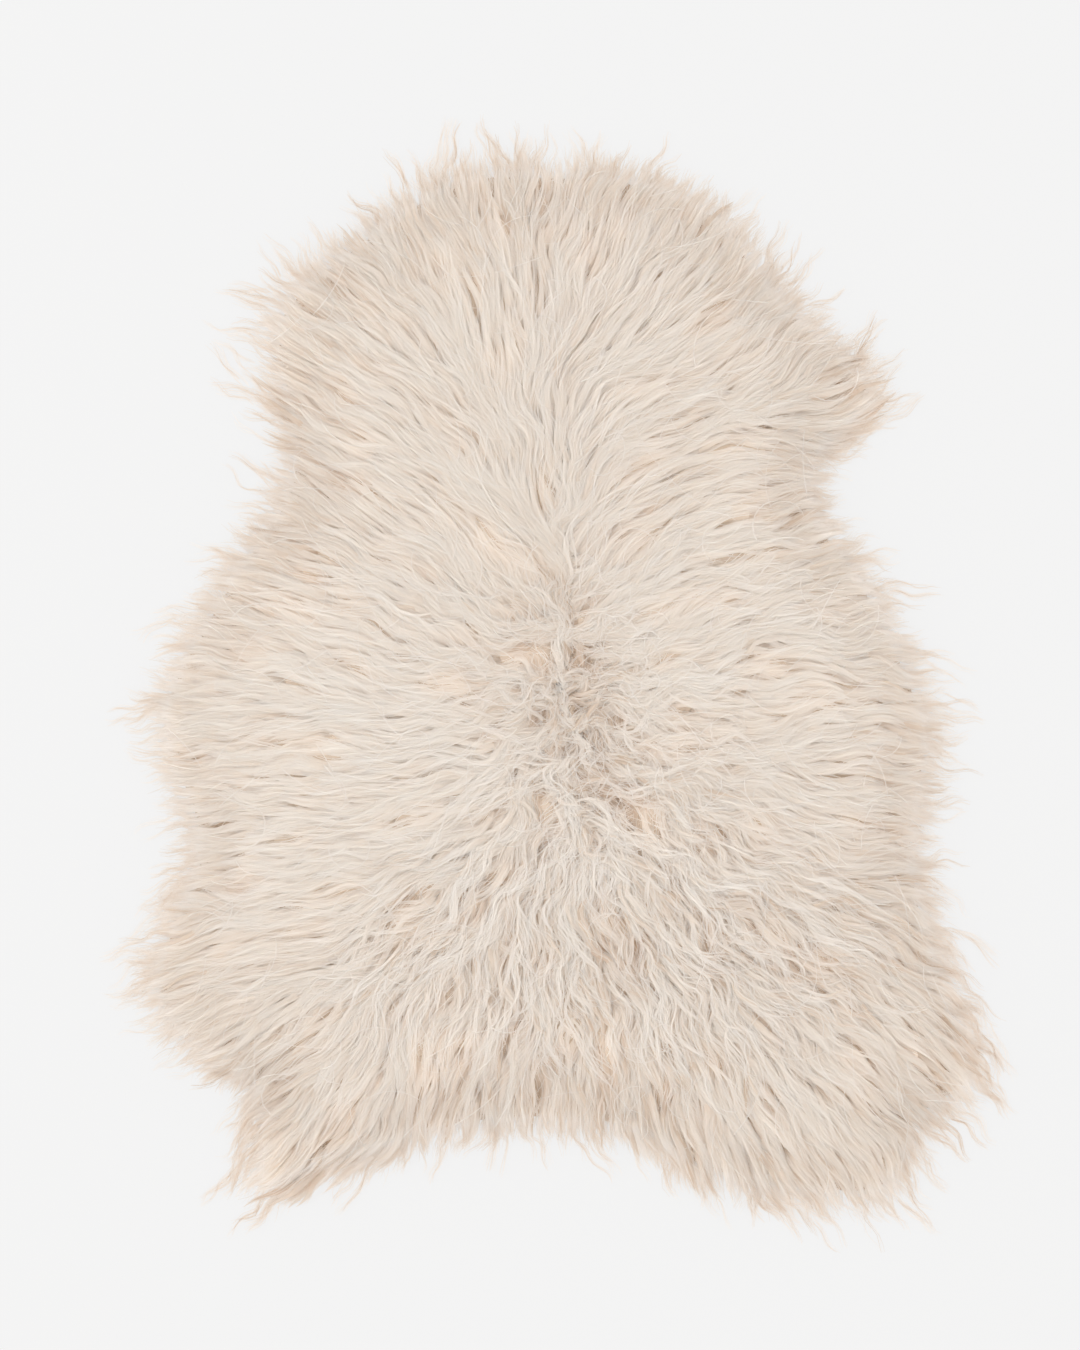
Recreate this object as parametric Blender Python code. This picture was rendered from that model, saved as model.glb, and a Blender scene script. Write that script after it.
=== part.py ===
"""A long-haired sheepskin rug, laid flat with the wool up.

The pelt is one piece: the tanned hide with the wool that grows on it, so it is one closed solid.
Its underside is flat. Its top is the mean surface of the combed pile, highest along the back and
rolling down all round to a rim of tufts that lie on the floor.

Metres, +Z up. +Y points to the neck and +X to the right-hand side as seen from above. The origin
is on the floor, in the middle of the rug's box.
"""

import math
import random

import bmesh
import bpy
import numpy as np
from mathutils import Vector
from mathutils.geometry import delaunay_2d_cdt

# Driving dimensions
LENGTH = 1.02  # neck to hind feet, over the longest tufts
WIDTH = 0.83  # over the longest tufts of the hind corners
PILE_HEIGHT = 0.056  # crown of the combed pile above the floor
TIP_HEIGHT = 0.005  # a tuft's tip, lying on the floor
VALLEY_HEIGHT = 0.010  # the dense pile's edge between two tufts
ROLL_WIDTH = 0.105  # from the rim to where the pile has its full height
ROLL_FULLNESS = 0.8  # power of the roll's sine: under 1 it rises faster at the rim
TUFT_SPACING = 0.024  # mean, along the rim
SHORTEST_TUFT = 0.45  # share of the longest one near it
TUFT_SWAY = 0.004  # a tip to either side of its place
LOCK_RELIEF = 0.0022  # ridges of the outer locks above and below the mean surface
PARTING_DEPTH = 0.008  # the valley along the back line
PARTING_WIDTH = 0.030  # half of that valley, across
SEED = 7

# The wool grows outward from the back line, which runs along this share of the rug's length.
BACK_SHARE = 0.5

# The dense pile's edge, clockwise from the neck as seen from above, and how far the longest tufts
# reach past it there.
# place, x, y, tuft
OUTLINE = (
    ("neck", -0.010, 0.484, 0.044),
    ("neck, right", 0.086, 0.474, 0.032),
    ("nape, right", 0.160, 0.436, 0.032),
    ("shoulder, right", 0.208, 0.370, 0.032),
    ("fore shank, right, upper", 0.270, 0.312, 0.034),
    ("fore shank, right, tip", 0.302, 0.272, 0.038),
    ("waist, right", 0.243, 0.187, 0.016),
    ("ribs, right", 0.300, 0.088, 0.034),
    ("belly, right", 0.350, -0.034, 0.038),
    ("stifle, right", 0.338, -0.150, 0.032),
    ("thigh, right", 0.362, -0.255, 0.038),
    ("hind corner, right", 0.390, -0.366, 0.038),
    ("hock, right", 0.344, -0.396, 0.036),
    ("hind foot, right, outer", 0.308, -0.466, 0.046),
    ("hind foot, right, inner", 0.243, -0.472, 0.034),
    ("rump, right", 0.130, -0.452, 0.030),
    ("tail, right", 0.076, -0.418, 0.028),
    ("tail", -0.010, -0.406, 0.026),
    ("tail, left", -0.110, -0.415, 0.026),
    ("rump, left", -0.222, -0.446, 0.024),
    ("hind foot, left", -0.284, -0.466, 0.042),
    ("hock, left", -0.290, -0.372, 0.030),
    ("hind corner, left, lower", -0.346, -0.334, 0.026),
    ("hind corner, left", -0.386, -0.262, 0.038),
    ("stifle, left", -0.345, -0.146, 0.032),
    ("belly, left", -0.378, -0.024, 0.036),
    ("ribs, left", -0.322, 0.094, 0.034),
    ("waist, left", -0.258, 0.200, 0.032),
    ("shoulder, left", -0.274, 0.318, 0.048),
    ("shoulder, left, upper", -0.254, 0.368, 0.044),
    ("nape, left", -0.166, 0.438, 0.034),
    ("neck, left", -0.090, 0.480, 0.044),
)

# The top surface has rows of vertices this far inside the dense pile's edge, one behind each tuft
# and one behind each valley, and an even grid inside the last row.
ROW_INSETS = (0.008, 0.020, 0.036, 0.056)
GRID_SPACING = 0.030
ROW_CLEARANCE = 0.007  # the least distance between two vertices of the rows, and to the rim
GRID_CLEARANCE = 0.021  # the same for the grid
LANDMARK_STEPS = 24  # points of the smooth edge from one landmark to the next

# Broad swells of the pile, as it lies over the uneven hide.
# x, y, radius, height
SWELLS = (
    (-0.150, 0.250, 0.120, 0.004),
    (0.140, 0.280, 0.110, 0.003),
    (-0.210, -0.060, 0.130, 0.004),
    (0.200, -0.050, 0.130, 0.005),
    (0.020, -0.030, 0.090, -0.005),
    (0.000, -0.260, 0.150, 0.004),
    (-0.250, -0.300, 0.100, -0.003),
    (0.270, -0.350, 0.100, 0.003),
)

WOOL_COLOR = (0.74, 0.66, 0.57, 1.0)
WOOL_ROUGHNESS = 0.85
CREASE_ANGLE = math.radians(50)  # a sharper fold than this, such as the rim's, is shaded sharp


def clear_scene():
    for obj in list(bpy.data.objects):
        bpy.data.objects.remove(obj, do_unlink=True)


def lengths(vectors):
    return np.linalg.norm(vectors, axis=-1)


def smooth_loop(corners, steps):
    """A closed Catmull-Rom curve through the corners, with so many steps between two of them."""
    loop = []
    count = len(corners)
    for i in range(count):
        before, start, end, after = (corners[(i + k) % count] for k in (-1, 0, 1, 2))
        for k in range(steps):
            t = k / steps
            bend = 2 * before - 5 * start + 4 * end - after
            twist = 3 * start - before - 3 * end + after
            loop.append(start + 0.5 * t * (end - before + t * (bend + t * twist)))
    return np.array(loop)


def even_points(loop, count):
    """So many points at even distances along a closed loop; every column is carried along."""
    closed = np.vstack((loop, loop[:1]))
    along = np.concatenate(([0.0], np.cumsum(lengths(np.diff(closed[:, :2], axis=0)))))
    places = np.linspace(0.0, along[-1], count, endpoint=False)
    return np.column_stack([np.interp(places, along, column) for column in closed.T])


def outward_from_back(x, y):
    """The direction in which the wool lies, away from the back line."""
    away = np.array((x, (1.0 - BACK_SHARE) * y))
    return away / lengths(away)


def tufted_rim():
    """The dense pile's edge as points, by turns at a tuft and at a valley, and the rim itself."""
    loop = smooth_loop(np.array([row[1:] for row in OUTLINE]), LANDMARK_STEPS)
    perimeter = lengths(np.roll(loop[:, :2], -1, axis=0) - loop[:, :2]).sum()
    edge = even_points(loop, 2 * round(perimeter / TUFT_SPACING))
    edge, tufts = edge[:, :2], edge[:, 2]
    ahead = np.roll(edge, -1, axis=0) - np.roll(edge, 1, axis=0)
    ahead /= lengths(ahead)[:, None]
    rim = edge.copy()
    rng = random.Random(SEED)
    for i in range(0, len(edge), 2):
        across = np.array((-ahead[i, 1], ahead[i, 0]))
        outward = across + outward_from_back(*edge[i])
        reach = tufts[i] * rng.uniform(SHORTEST_TUFT, 1.0)
        sway = TUFT_SWAY * rng.uniform(-1.0, 1.0)
        rim[i] += reach * outward / lengths(outward) + sway * ahead[i]
    low, high = rim.min(axis=0), rim.max(axis=0)
    scale = np.array((WIDTH, LENGTH)) / (high - low)
    return [(points - (low + high) / 2) * scale for points in (edge, rim)]


def distance_to_rim(point, rim):
    """The distance from a point to the nearest stretch of the rim."""
    along = np.roll(rim, -1, axis=0) - rim
    share = ((point - rim) * along).sum(axis=1) / (along**2).sum(axis=1)
    nearest = rim + np.clip(share, 0.0, 1.0)[:, None] * along
    return lengths(point - nearest).min()


def inside(point, rim):
    """Whether a ray from the point towards +X crosses the rim an odd number of times."""
    x, y = point
    ends = np.roll(rim, -1, axis=0)
    spans = (rim[:, 1] > y) != (ends[:, 1] > y)
    start, end = rim[spans], ends[spans]
    crossings = start[:, 0] + (y - start[:, 1]) * (end - start)[:, 0] / (end - start)[:, 1]
    return (crossings > x).sum() % 2 == 1


def pile_height(point, rim):
    """The pile's mean surface above the floor."""
    x, y = point
    inward = min(distance_to_rim(point, rim) / ROLL_WIDTH, 1.0)
    rise = math.sin(0.5 * math.pi * inward) ** ROLL_FULLNESS
    height = VALLEY_HEIGHT + (PILE_HEIGHT - VALLEY_HEIGHT) * rise
    height -= rise * PARTING_DEPTH * math.exp(-((x / PARTING_WIDTH) ** 2))
    for swell_x, swell_y, radius, swell in SWELLS:
        apart = math.hypot(x - swell_x, y - swell_y)
        height += rise * swell * math.exp(-((apart / radius) ** 2))
    return min(height, PILE_HEIGHT)


def top_points(edge, rim):
    """The top surface's points x, y, z inside the rim: the rows behind it, then the grid."""
    points = []

    def add(point, clearance, lift):
        crowded = points and lengths(np.array(points)[:, :2] - point).min() < clearance
        if not crowded and inside(point, rim) and distance_to_rim(point, rim) > clearance:
            points.append((*point, pile_height(point, rim) + lift))

    for inset in ROW_INSETS:
        relief = LOCK_RELIEF * (1.0 - inset / ROLL_WIDTH)
        for i, place in enumerate(edge):
            side = -1.0 if i % 2 else 1.0
            add(place - inset * outward_from_back(*place), ROW_CLEARANCE, side * relief)
    row_spacing = GRID_SPACING * math.sqrt(0.75)
    for row in range(int(LENGTH / row_spacing)):
        for column in range(int(WIDTH / GRID_SPACING)):
            x = (column + 0.5 * (row % 2)) * GRID_SPACING - WIDTH / 2
            add(np.array((x, row * row_spacing - LENGTH / 2)), GRID_CLEARANCE, 0.0)
    return points


def wool_material():
    material = bpy.data.materials.new("wool")
    material.use_nodes = True
    shader = material.node_tree.nodes["Principled BSDF"]
    shader.inputs["Base Color"].default_value = WOOL_COLOR
    shader.inputs["Roughness"].default_value = WOOL_ROUGHNESS
    shader.inputs["Metallic"].default_value = 0.0
    return material


def make_sheepskin():
    """The pelt: a flat underside, a low tufted rim and the pile's surface above."""
    edge, rim = tufted_rim()
    count = len(rim)
    flat = [(*point, VALLEY_HEIGHT if i % 2 else TIP_HEIGHT) for i, point in enumerate(rim)]
    flat += top_points(edge, rim)
    places, _, faces, *_ = delaunay_2d_cdt(
        [Vector(point[:2]) for point in flat], [], [list(range(count))], 1, 1e-6
    )

    bm = bmesh.new()
    top = [bm.verts.new((*place, point[2])) for place, point in zip(places, flat, strict=True)]
    floor = [bm.verts.new((*place, 0.0)) for place in places[:count]]
    for face in faces:
        bm.faces.new([top[i] for i in face])
    for i in range(count):
        after = (i + 1) % count
        bm.faces.new((top[i], top[after], floor[after], floor[i]))
    bm.faces.new(floor)
    bmesh.ops.triangulate(bm, faces=[face for face in bm.faces if len(face.verts) > 3])
    bmesh.ops.recalc_face_normals(bm, faces=bm.faces)

    mesh = bpy.data.meshes.new("sheepskin")
    bm.to_mesh(mesh)
    bm.free()
    mesh.shade_smooth()
    mesh.set_sharp_from_angle(angle=CREASE_ANGLE)
    mesh.materials.append(wool_material())
    bpy.context.collection.objects.link(bpy.data.objects.new("sheepskin", mesh))


clear_scene()
make_sheepskin()
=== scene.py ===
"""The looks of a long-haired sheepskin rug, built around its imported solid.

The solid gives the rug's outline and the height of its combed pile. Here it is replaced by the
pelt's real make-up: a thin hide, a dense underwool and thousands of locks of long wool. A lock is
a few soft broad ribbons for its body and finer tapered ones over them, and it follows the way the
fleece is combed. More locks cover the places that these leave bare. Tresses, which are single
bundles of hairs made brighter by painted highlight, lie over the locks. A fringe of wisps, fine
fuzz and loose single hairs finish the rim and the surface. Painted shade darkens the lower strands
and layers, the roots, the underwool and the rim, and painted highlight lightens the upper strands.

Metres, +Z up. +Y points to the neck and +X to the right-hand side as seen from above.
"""

import math
from typing import NamedTuple

import bpy
import numpy as np
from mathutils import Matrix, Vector
from mathutils.bvhtree import BVHTree


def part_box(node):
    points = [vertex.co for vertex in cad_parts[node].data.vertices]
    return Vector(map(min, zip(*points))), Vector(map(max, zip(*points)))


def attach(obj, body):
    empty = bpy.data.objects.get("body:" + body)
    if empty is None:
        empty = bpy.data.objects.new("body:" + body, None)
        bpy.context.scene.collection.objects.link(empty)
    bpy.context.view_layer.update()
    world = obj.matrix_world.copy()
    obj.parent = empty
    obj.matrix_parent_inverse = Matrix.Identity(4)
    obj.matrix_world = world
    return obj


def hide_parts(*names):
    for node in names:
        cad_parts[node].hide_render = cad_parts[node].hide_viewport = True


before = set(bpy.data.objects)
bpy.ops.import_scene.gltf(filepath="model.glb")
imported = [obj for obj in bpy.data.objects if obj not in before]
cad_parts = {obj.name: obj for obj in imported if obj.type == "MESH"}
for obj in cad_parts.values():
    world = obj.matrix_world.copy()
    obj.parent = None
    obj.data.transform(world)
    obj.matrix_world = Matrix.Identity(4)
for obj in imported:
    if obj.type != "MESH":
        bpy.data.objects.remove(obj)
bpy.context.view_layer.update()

SEED = 11
UP = np.array((0.0, 0.0, 1.0))

# The fields that steer the wool are kept on a grid over the rug.
GRID_STEP = 0.004
GRID_MARGIN = 0.060  # around the solid
LAST_CELL = 1.001  # grid steps from the grid's end to the last place that is still in a cell
NOISE_REACH = 0.8  # how far from the origin smooth noise goes
WELD_DECIMALS = 5  # corners of the solid that agree to this are one point
FLAT = 1e-5  # a point lower than this is on the floor
RAY_HEIGHT = 1.0  # from which the solid's height is sounded
PILE_BLUR = 2  # grid steps
FRINGE_HEIGHT = 0.0035  # of the wool that lies on the floor, past the solid
OUTER_LIMIT = 0.016  # no hair reaches further than this past the solid's box

# The places in COMB, ZONES and WISPS are measured from this point.
MAP_ORIGIN = (-0.003, -0.008)

# How the wool is combed: the direction in which the tips point, in degrees from +X towards +Y.
# x, y, direction
COMB = (
    (0.00, 0.49, 90),
    (-0.08, 0.49, 100),
    (-0.14, 0.46, 118),
    (0.07, 0.46, 68),
    (0.13, 0.45, 55),
    (-0.21, 0.42, 135),
    (0.18, 0.41, 45),
    (0.04, 0.40, 65),
    (-0.10, 0.39, 115),
    (0.08, 0.37, 50),
    (-0.26, 0.36, 148),
    (-0.18, 0.36, 140),
    (-0.05, 0.35, 108),
    (0.00, 0.35, 90),
    (0.13, 0.33, 38),
    (0.25, 0.33, 38),
    (-0.30, 0.32, 155),
    (0.04, 0.32, 50),
    (0.18, 0.31, 42),
    (-0.18, 0.29, 150),
    (0.07, 0.28, 22),
    (0.29, 0.28, 25),
    (-0.28, 0.26, 158),
    (-0.11, 0.24, 140),
    (-0.05, 0.24, 118),
    (0.03, 0.24, 50),
    (0.11, 0.24, 15),
    (0.27, 0.24, 15),
    (-0.01, 0.23, 94),
    (0.20, 0.23, 3),
    (-0.26, 0.22, 165),
    (0.24, 0.21, -10),
    (0.08, 0.19, 25),
    (-0.23, 0.17, 152),
    (0.27, 0.17, 5),
    (-0.28, 0.14, 162),
    (-0.14, 0.14, 150),
    (0.17, 0.14, 18),
    (-0.07, 0.12, 128),
    (-0.03, 0.15, 122),
    (0.03, 0.14, 48),
    (-0.03, 0.09, 138),
    (0.035, 0.08, 34),
    (-0.035, 0.03, 162),
    (0.04, 0.03, 14),
    (-0.04, -0.02, 188),
    (0.045, -0.02, -14),
    (-0.035, -0.07, 212),
    (0.04, -0.08, -42),
    (-0.02, -0.12, 242),
    (0.26, 0.12, 15),
    (-0.31, 0.08, 168),
    (-0.21, 0.08, 160),
    (0.29, 0.06, 5),
    (-0.12, 0.04, 155),
    (0.15, 0.04, 20),
    (-0.37, 0.01, 175),
    (0.22, 0.01, 0),
    (-0.28, -0.01, 178),
    (0.31, -0.01, -5),
    (-0.14, -0.03, 180),
    (0.13, -0.03, -10),
    (-0.39, -0.04, 185),
    (0.34, -0.06, -12),
    (-0.33, -0.09, 183),
    (-0.21, -0.09, 178),
    (-0.12, -0.13, 190),
    (-0.33, -0.15, 182),
    (-0.10, -0.15, 205),
    (0.15, -0.15, -45),
    (0.20, -0.15, -25),
    (0.27, -0.15, -8),
    (0.35, -0.15, -10),
    (-0.21, -0.16, 182),
    (-0.07, -0.19, 235),
    (-0.14, -0.22, 210),
    (0.13, -0.22, -60),
    (-0.37, -0.23, 190),
    (0.22, -0.23, -45),
    (-0.25, -0.24, 193),
    (0.00, -0.24, 270),
    (0.07, -0.24, -80),
    (0.27, -0.24, -35),
    (0.35, -0.25, -30),
    (-0.39, -0.28, 200),
    (-0.06, -0.28, 262),
    (-0.31, -0.30, 212),
    (-0.13, -0.30, 252),
    (0.38, -0.31, -35),
    (-0.21, -0.32, 220),
    (0.07, -0.34, -85),
    (0.15, -0.34, -72),
    (0.22, -0.34, -57),
    (0.29, -0.35, -42),
    (-0.13, -0.36, 258),
    (-0.20, -0.38, 235),
    (0.40, -0.38, -38),
    (-0.27, -0.40, 222),
    (0.33, -0.40, -45),
    (-0.07, -0.41, 262),
    (0.00, -0.41, 270),
    (0.07, -0.42, -82),
    (-0.23, -0.45, 228),
    (0.15, -0.45, -70),
    (0.22, -0.45, -62),
    (-0.30, -0.46, 225),
    (0.29, -0.46, -58),
)
COMB_REACH = 0.020  # a stroke rules this far round its place, before its neighbours matter

# Where strokes part, by up to 1: what is added to the locks' stray and curl, and taken off their
# length
PARTING_STRAY = 60.0
PARTING_CURL = 30.0
PARTING_SHORTENING = 0.65

# How the locks grow. The first row holds everywhere, and each other row rules around its place.
# wave and wavelength are those of a lock along its length, stray is how far directions wander in
# degrees, curl how fast a lock turns in radians per metre, width a lock's breadth at its root,
# twist the share of its wave that is up and down, clump how tightly its strands draw together
# towards the tip, depth how far one layer of locks lies under another, fill the share of the
# pile's height that the underwool fills, crowd how many locks stand where one would at the usual
# spacing, tint how light they are, shade how thick they are and how strongly painted shade darkens
# their lower strands and layers and painted highlight lightens their upper strands, and tresses the
# share of places with a tress over them.
ZONE_COLUMNS = ("wave", "wavelength", "stray", "curl", "length", "width", "twist", "clump", "depth",
                "fill", "crowd", "tint", "shade", "tresses")
# place, x, y, radius, and on the next line the columns above
ZONES = (
    ("fleece", 0.0, 0.0, 9.0,
     0.0016, 0.062, 10, 0, 0.098, 0.0090, 0.3, 0.50, 0.0018, 0.85, 1.0, 0.58, 0.55, 0.12),
    ("flank, left", -0.22, -0.06, 0.13,
     0.0024, 0.070, 10, 0, 0.100, 0.0090, 0.3, 0.50, 0.0024, 0.85, 1.0, 0.72, 0.6, 0.25),
    ("flank, right", 0.22, 0.02, 0.12,
     0.0034, 0.075, 14, 3, 0.100, 0.0090, 0.3, 0.50, 0.0022, 0.85, 1.0, 0.66, 0.55, 0.20),
    ("loin, right", 0.15, -0.11, 0.07,
     0.0050, 0.060, 20, 6, 0.095, 0.0075, 0.4, 0.60, 0.0030, 0.85, 1.1, 0.54, 0.8, 0.35),
    ("loin, left", -0.10, 0.03, 0.06,
     0.0026, 0.038, 22, 6, 0.075, 0.0070, 0.5, 0.50, 0.0030, 0.85, 1.3, 0.52, 0.7, 0.15),
    ("back", 0.0, 0.10, 0.045,
     0.0032, 0.036, 30, 14, 0.060, 0.0060, 0.5, 0.40, 0.0028, 0.85, 1.9, 0.48, 0.9, 0.15),
    ("crown", 0.02, -0.01, 0.070,
     0.0042, 0.027, 56, 44, 0.046, 0.0044, 0.5, 0.25, 0.0028, 0.85, 3.4, 0.42, 1.0, 0.15),
    ("crown, lower", 0.04, -0.10, 0.065,
     0.0042, 0.032, 46, 34, 0.060, 0.0046, 0.5, 0.35, 0.0028, 0.85, 3.0, 0.42, 1.1, 0.30),
    ("rump, left", -0.09, -0.23, 0.10,
     0.0050, 0.050, 16, 4, 0.090, 0.0068, 0.4, 0.70, 0.0056, 0.83, 1.1, 0.58, 1.15, 0.60),
    ("rump", 0.07, -0.25, 0.12,
     0.0066, 0.054, 18, 4, 0.092, 0.0066, 0.4, 0.75, 0.0062, 0.82, 1.1, 0.57, 1.15, 0.75),
    ("rump, right", 0.20, -0.26, 0.10,
     0.0060, 0.058, 16, 4, 0.092, 0.0068, 0.4, 0.70, 0.0056, 0.83, 1.1, 0.58, 1.15, 0.60),
)
EVERYWHERE = 1.0  # a zone with a larger radius than this holds everywhere
EVERYWHERE_WEIGHT = 0.25  # where another zone's is 1 in its middle
ZONE_FALLOFF = 1.5  # the higher, the more sharply a zone ends at its radius

# Locks, by the places of their tips
LOCK_SPACING = 0.0127
TIP_STRAY = 0.42  # of the spacing, by which a tip is off its even place
TIP_MARGIN = 0.02  # around the dense pile's edge
MOST_LAYERS = 4
PATH_STEPS = 24
EDGE_OVERLAP = 0.023  # tips stand this far past the dense pile's edge
STRAY_CELL = 0.022  # size of the swirls in which directions wander
SHARED_STRAY = 1.6  # of the stray angle that neighbouring locks share
OWN_STRAY = 0.45  # of it that each lock has on its own
PHASE_STRAY = 0.9  # radians by which a lock's wave is off its neighbours'
# A lock's own size, as a share of what the zones say: least and most
LENGTH_SHARES = (0.8, 1.15)
WAVE_SHARES = (0.5, 1.4)
WAVELENGTH_SHARES = (0.85, 1.2)
WIDTH_SHARES = (0.75, 1.3)

# A lock is made of a few sub-locks
SUBLOCKS = 3
SUBLOCK_PHASE = 0.4  # radians by which their waves differ
SUBLOCK_END = 0.10  # share of the lock's length that the shortest lack
SUBLOCK_TINT = 0.04

# How a lock lies on the pile
ROOT_HEIGHT = 0.45  # share of the pile's height at which a lock's modelled part starts
RISE_SHARE = 0.42  # of its length in which a lock comes up to the pile's surface
DEPTH_AT_ROOT = 0.35  # share of its depth under the surface that it has at its root
FULL_LOFT = 0.030  # where the pile is lower than this, locks lie closer together
TIP_LIFT = 0.0012  # spread, of strands' tips up and down
GROUND = 0.0006  # no strand is nearer to the floor
LEAST_RISE = 0.25  # on the floor, what a strand keeps of its height over or under its lock

# Tints: spreads of the wool's own tone, and how much painted shade darkens some wool
LOCK_TINT = 0.06
STRAND_TINT = 0.05
TINT_LIMITS = (0.02, 0.98)
DEEP_PAINTED_SHADE = 0.20  # painted shade for each layer of locks further down, where shade is 1
DEEPEST_LAYER = 1.5  # lower layers than this get no more painted shade
RIM_PAINTED_SHADE = 0.10  # painted shade on locks that end at the dense pile's edge, where the pile rolls down
RIM_PAINTED_SHADE_WIDTH = 0.024
OUTSIDE_PAINTED_SHADE = 0.10  # painted shade on the thin wool past that edge
OUTSIDE_FADE = (-0.020, 0.010)  # from here to here past it
RIM_PLACE = 0.8  # on the painted shade's scale a strand ends here, and the rim's painted shade starts

# More locks cover the bare places
BARE = 1.05  # fewer points of locks than this are in a grid cell there
COVER_INSET = 0.004  # such a place is at least this far inside the dense pile's edge
COVER_SPACING = 0.009
COVER_SHARE = 0.30  # of the zone's length that such a lock's tip lies past the place
COVER_STRAY = 5.0  # degrees

# The longest wisps of the fringe, and how many locks draw together in each
# place, x, y, locks
WISPS = (
    ("neck, left, inner", -0.071, 0.522, 4),
    ("neck, left, outer", -0.096, 0.528, 5),
    ("neck", -0.030, 0.520, 3),
    ("neck, right", 0.104, 0.508, 3),
    ("nape, right", 0.186, 0.458, 3),
    ("shoulder, right, upper", 0.216, 0.432, 2),
    ("shoulder, right", 0.240, 0.404, 2),
    ("shoulder, right, lower", 0.266, 0.372, 2),
    ("fore shank, right, upper", 0.300, 0.342, 4),
    ("fore shank, right, tip", 0.336, 0.277, 4),
    ("ribs, right", 0.352, 0.088, 3),
    ("belly, right", 0.394, -0.026, 4),
    ("stifle, right", 0.385, -0.110, 3),
    ("thigh, right", 0.408, -0.250, 3),
    ("hind corner, right", 0.418, -0.396, 4),
    ("hock, right, upper", 0.400, -0.420, 4),
    ("hock, right", 0.376, -0.438, 4),
    ("hock, right, lower", 0.362, -0.462, 3),
    ("hind foot, right, outer", 0.348, -0.500, 4),
    ("hind foot, right, inner", 0.300, -0.528, 4),
    ("hind foot, right, tip", 0.262, -0.520, 3),
    ("hind foot, right, low", 0.222, -0.508, 3),
    ("rump, right", 0.180, -0.496, 3),
    ("tail, right", 0.110, -0.470, 3),
    ("tail, right, inner", 0.052, -0.452, 3),
    ("tail", -0.006, -0.444, 3),
    ("tail, left, inner", -0.060, -0.446, 3),
    ("tail, left", -0.118, -0.456, 3),
    ("rump, left", -0.205, -0.482, 3),
    ("hind foot, left, inner", -0.300, -0.502, 3),
    ("hind foot, left, outer", -0.330, -0.478, 3),
    ("hind corner, left, lower", -0.375, -0.350, 3),
    ("hind corner, left", -0.418, -0.282, 4),
    ("thigh, left", -0.420, -0.246, 4),
    ("stifle, left", -0.385, -0.200, 3),
    ("belly, left", -0.416, -0.030, 3),
    ("ribs, left", -0.372, 0.070, 3),
    ("waist, left", -0.300, 0.210, 3),
    ("shoulder, left, lower", -0.318, 0.280, 4),
    ("shoulder, left", -0.321, 0.324, 4),
    ("shoulder, left, upper", -0.307, 0.368, 4),
    ("nape, left, lower", -0.268, 0.414, 3),
    ("nape, left", -0.231, 0.433, 3),
    ("nape, left, upper", -0.196, 0.459, 3),
    ("neck, left, lower", -0.158, 0.498, 4),
)
WISP_GATHER = 0.004  # how far the tips of a wisp's locks lie from its place

# Fringe, on the tufts of the solid's rim
FRINGE_LOCKS = 14  # on each tuft: one at its end and the others behind it
FRINGE_OVERSHOOT = 0.015  # most that the first one reaches past the tuft's end
SHORTEST_TUFT = 0.018
FRINGE_PLACES = (0.1, 0.95)  # of the others, as shares of the tuft's reach
FRINGE_PLACE_SHARES = (0.8, 1.2)  # by which each is off its even place
FRINGE_SWAY = 0.6  # to either side, as a share of the tuft's width there
TUFT_WIDTH = 1.15  # of its base, and how much narrower it is at its end
TUFT_NARROWING = 0.75
FRINGE = {"length": 0.062, "width": 0.0040, "clump": 0.92, "stray": 19.0, "wave": 0.0020,
          "wavelength": 0.034}
FRINGE_SEGMENTS = 6

# Tresses: long narrow locks that lie over the others and show their whole waves
TRESS = {"length": 0.112, "width": 0.0046, "clump": 0.80}
TRESS_LAYER = -0.5  # half a layer above the first one
TRESS_INSET = 0.020
TRESS_SEGMENTS = 10

# Strands
START = (0.08, 0.24)  # a strand's first place along its lock
LOCK_FLATNESS = 0.34  # a lock's thickness as a share of its breadth, where shade is 1
STRAND_SCATTER = 0.42  # round the middle of a sub-lock, as a share of half the lock's breadth
STRAND_PHASE = 0.22  # radians by which their waves differ in a sub-lock
STRAND_DRIFT = 0.0022  # sideways, over the whole length
# How far they draw together at the tip of a full clump, and the power by which that grows
SUBLOCK_GATHER = 0.65
SUBLOCK_GATHER_POWER = 1.6
STRAND_GATHER = 0.95
STRAND_GATHER_POWER = 1.3
WAVE_AT_ROOT = 0.35  # share of a lock's wave that it has at its root
WAVE_GROWTH = 1.2  # what is added to that share over the whole length, until it is 1
USUAL_WIDTH = 0.0090  # of a lock: in a narrower one, strands are narrower in proportion
WIDTH_AT_ROOT = 0.75  # share of a strand's width that it starts with
WIDTH_GROWTH = 5  # it has its full width after one part in so many of its length
TIP_TAPER = 2.4  # the higher, the nearer to its tip a strand becomes narrow
ROLL = math.radians(5)
LOCK_ROUNDNESS = math.radians(12)  # how far a lock's side strands face sideways
FURTHEST_SIDE = 1.3  # in half breadths: strands past this are turned no further
RIBBON_ROUNDNESS = math.radians(12)
NORMAL_LIFT = 0.58  # how far a strand's shading normal is turned straight up
# How many straight pieces a strand has, by the waves in its lock
# fewer waves than, pieces
SEGMENTS = ((1.2, 5), (1.7, 7), (2.3, 9))
MOST_SEGMENTS = 12
CLEAR_WAVE = 0.0015  # flatter waves than this count for less


class Strands(NamedTuple):
    """One kind of strand in a lock."""

    per_lock: int
    widths: tuple
    spread: float  # share of the lock's breadth in which they lie
    sink: float  # under the lock's middle
    reach: float  # share of the lock's length that they cover
    tint: float  # added to the lock's own, times its shade: painted shade below zero, painted highlight above
    tip_width: float = 0.00016
    follows_lock: bool = False  # whether they are narrower in a narrow lock
    first_end: float = 0.74  # share of the reach at which the shortest ones end
    rim_gap: float = 0.0  # share of the length by which they fall short of the outermost tips


# BODY's and FRINGE_HAIR's lower tints are painted shade, HAIR's and TRESS_HAIR's higher ones painted
# highlight.
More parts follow.
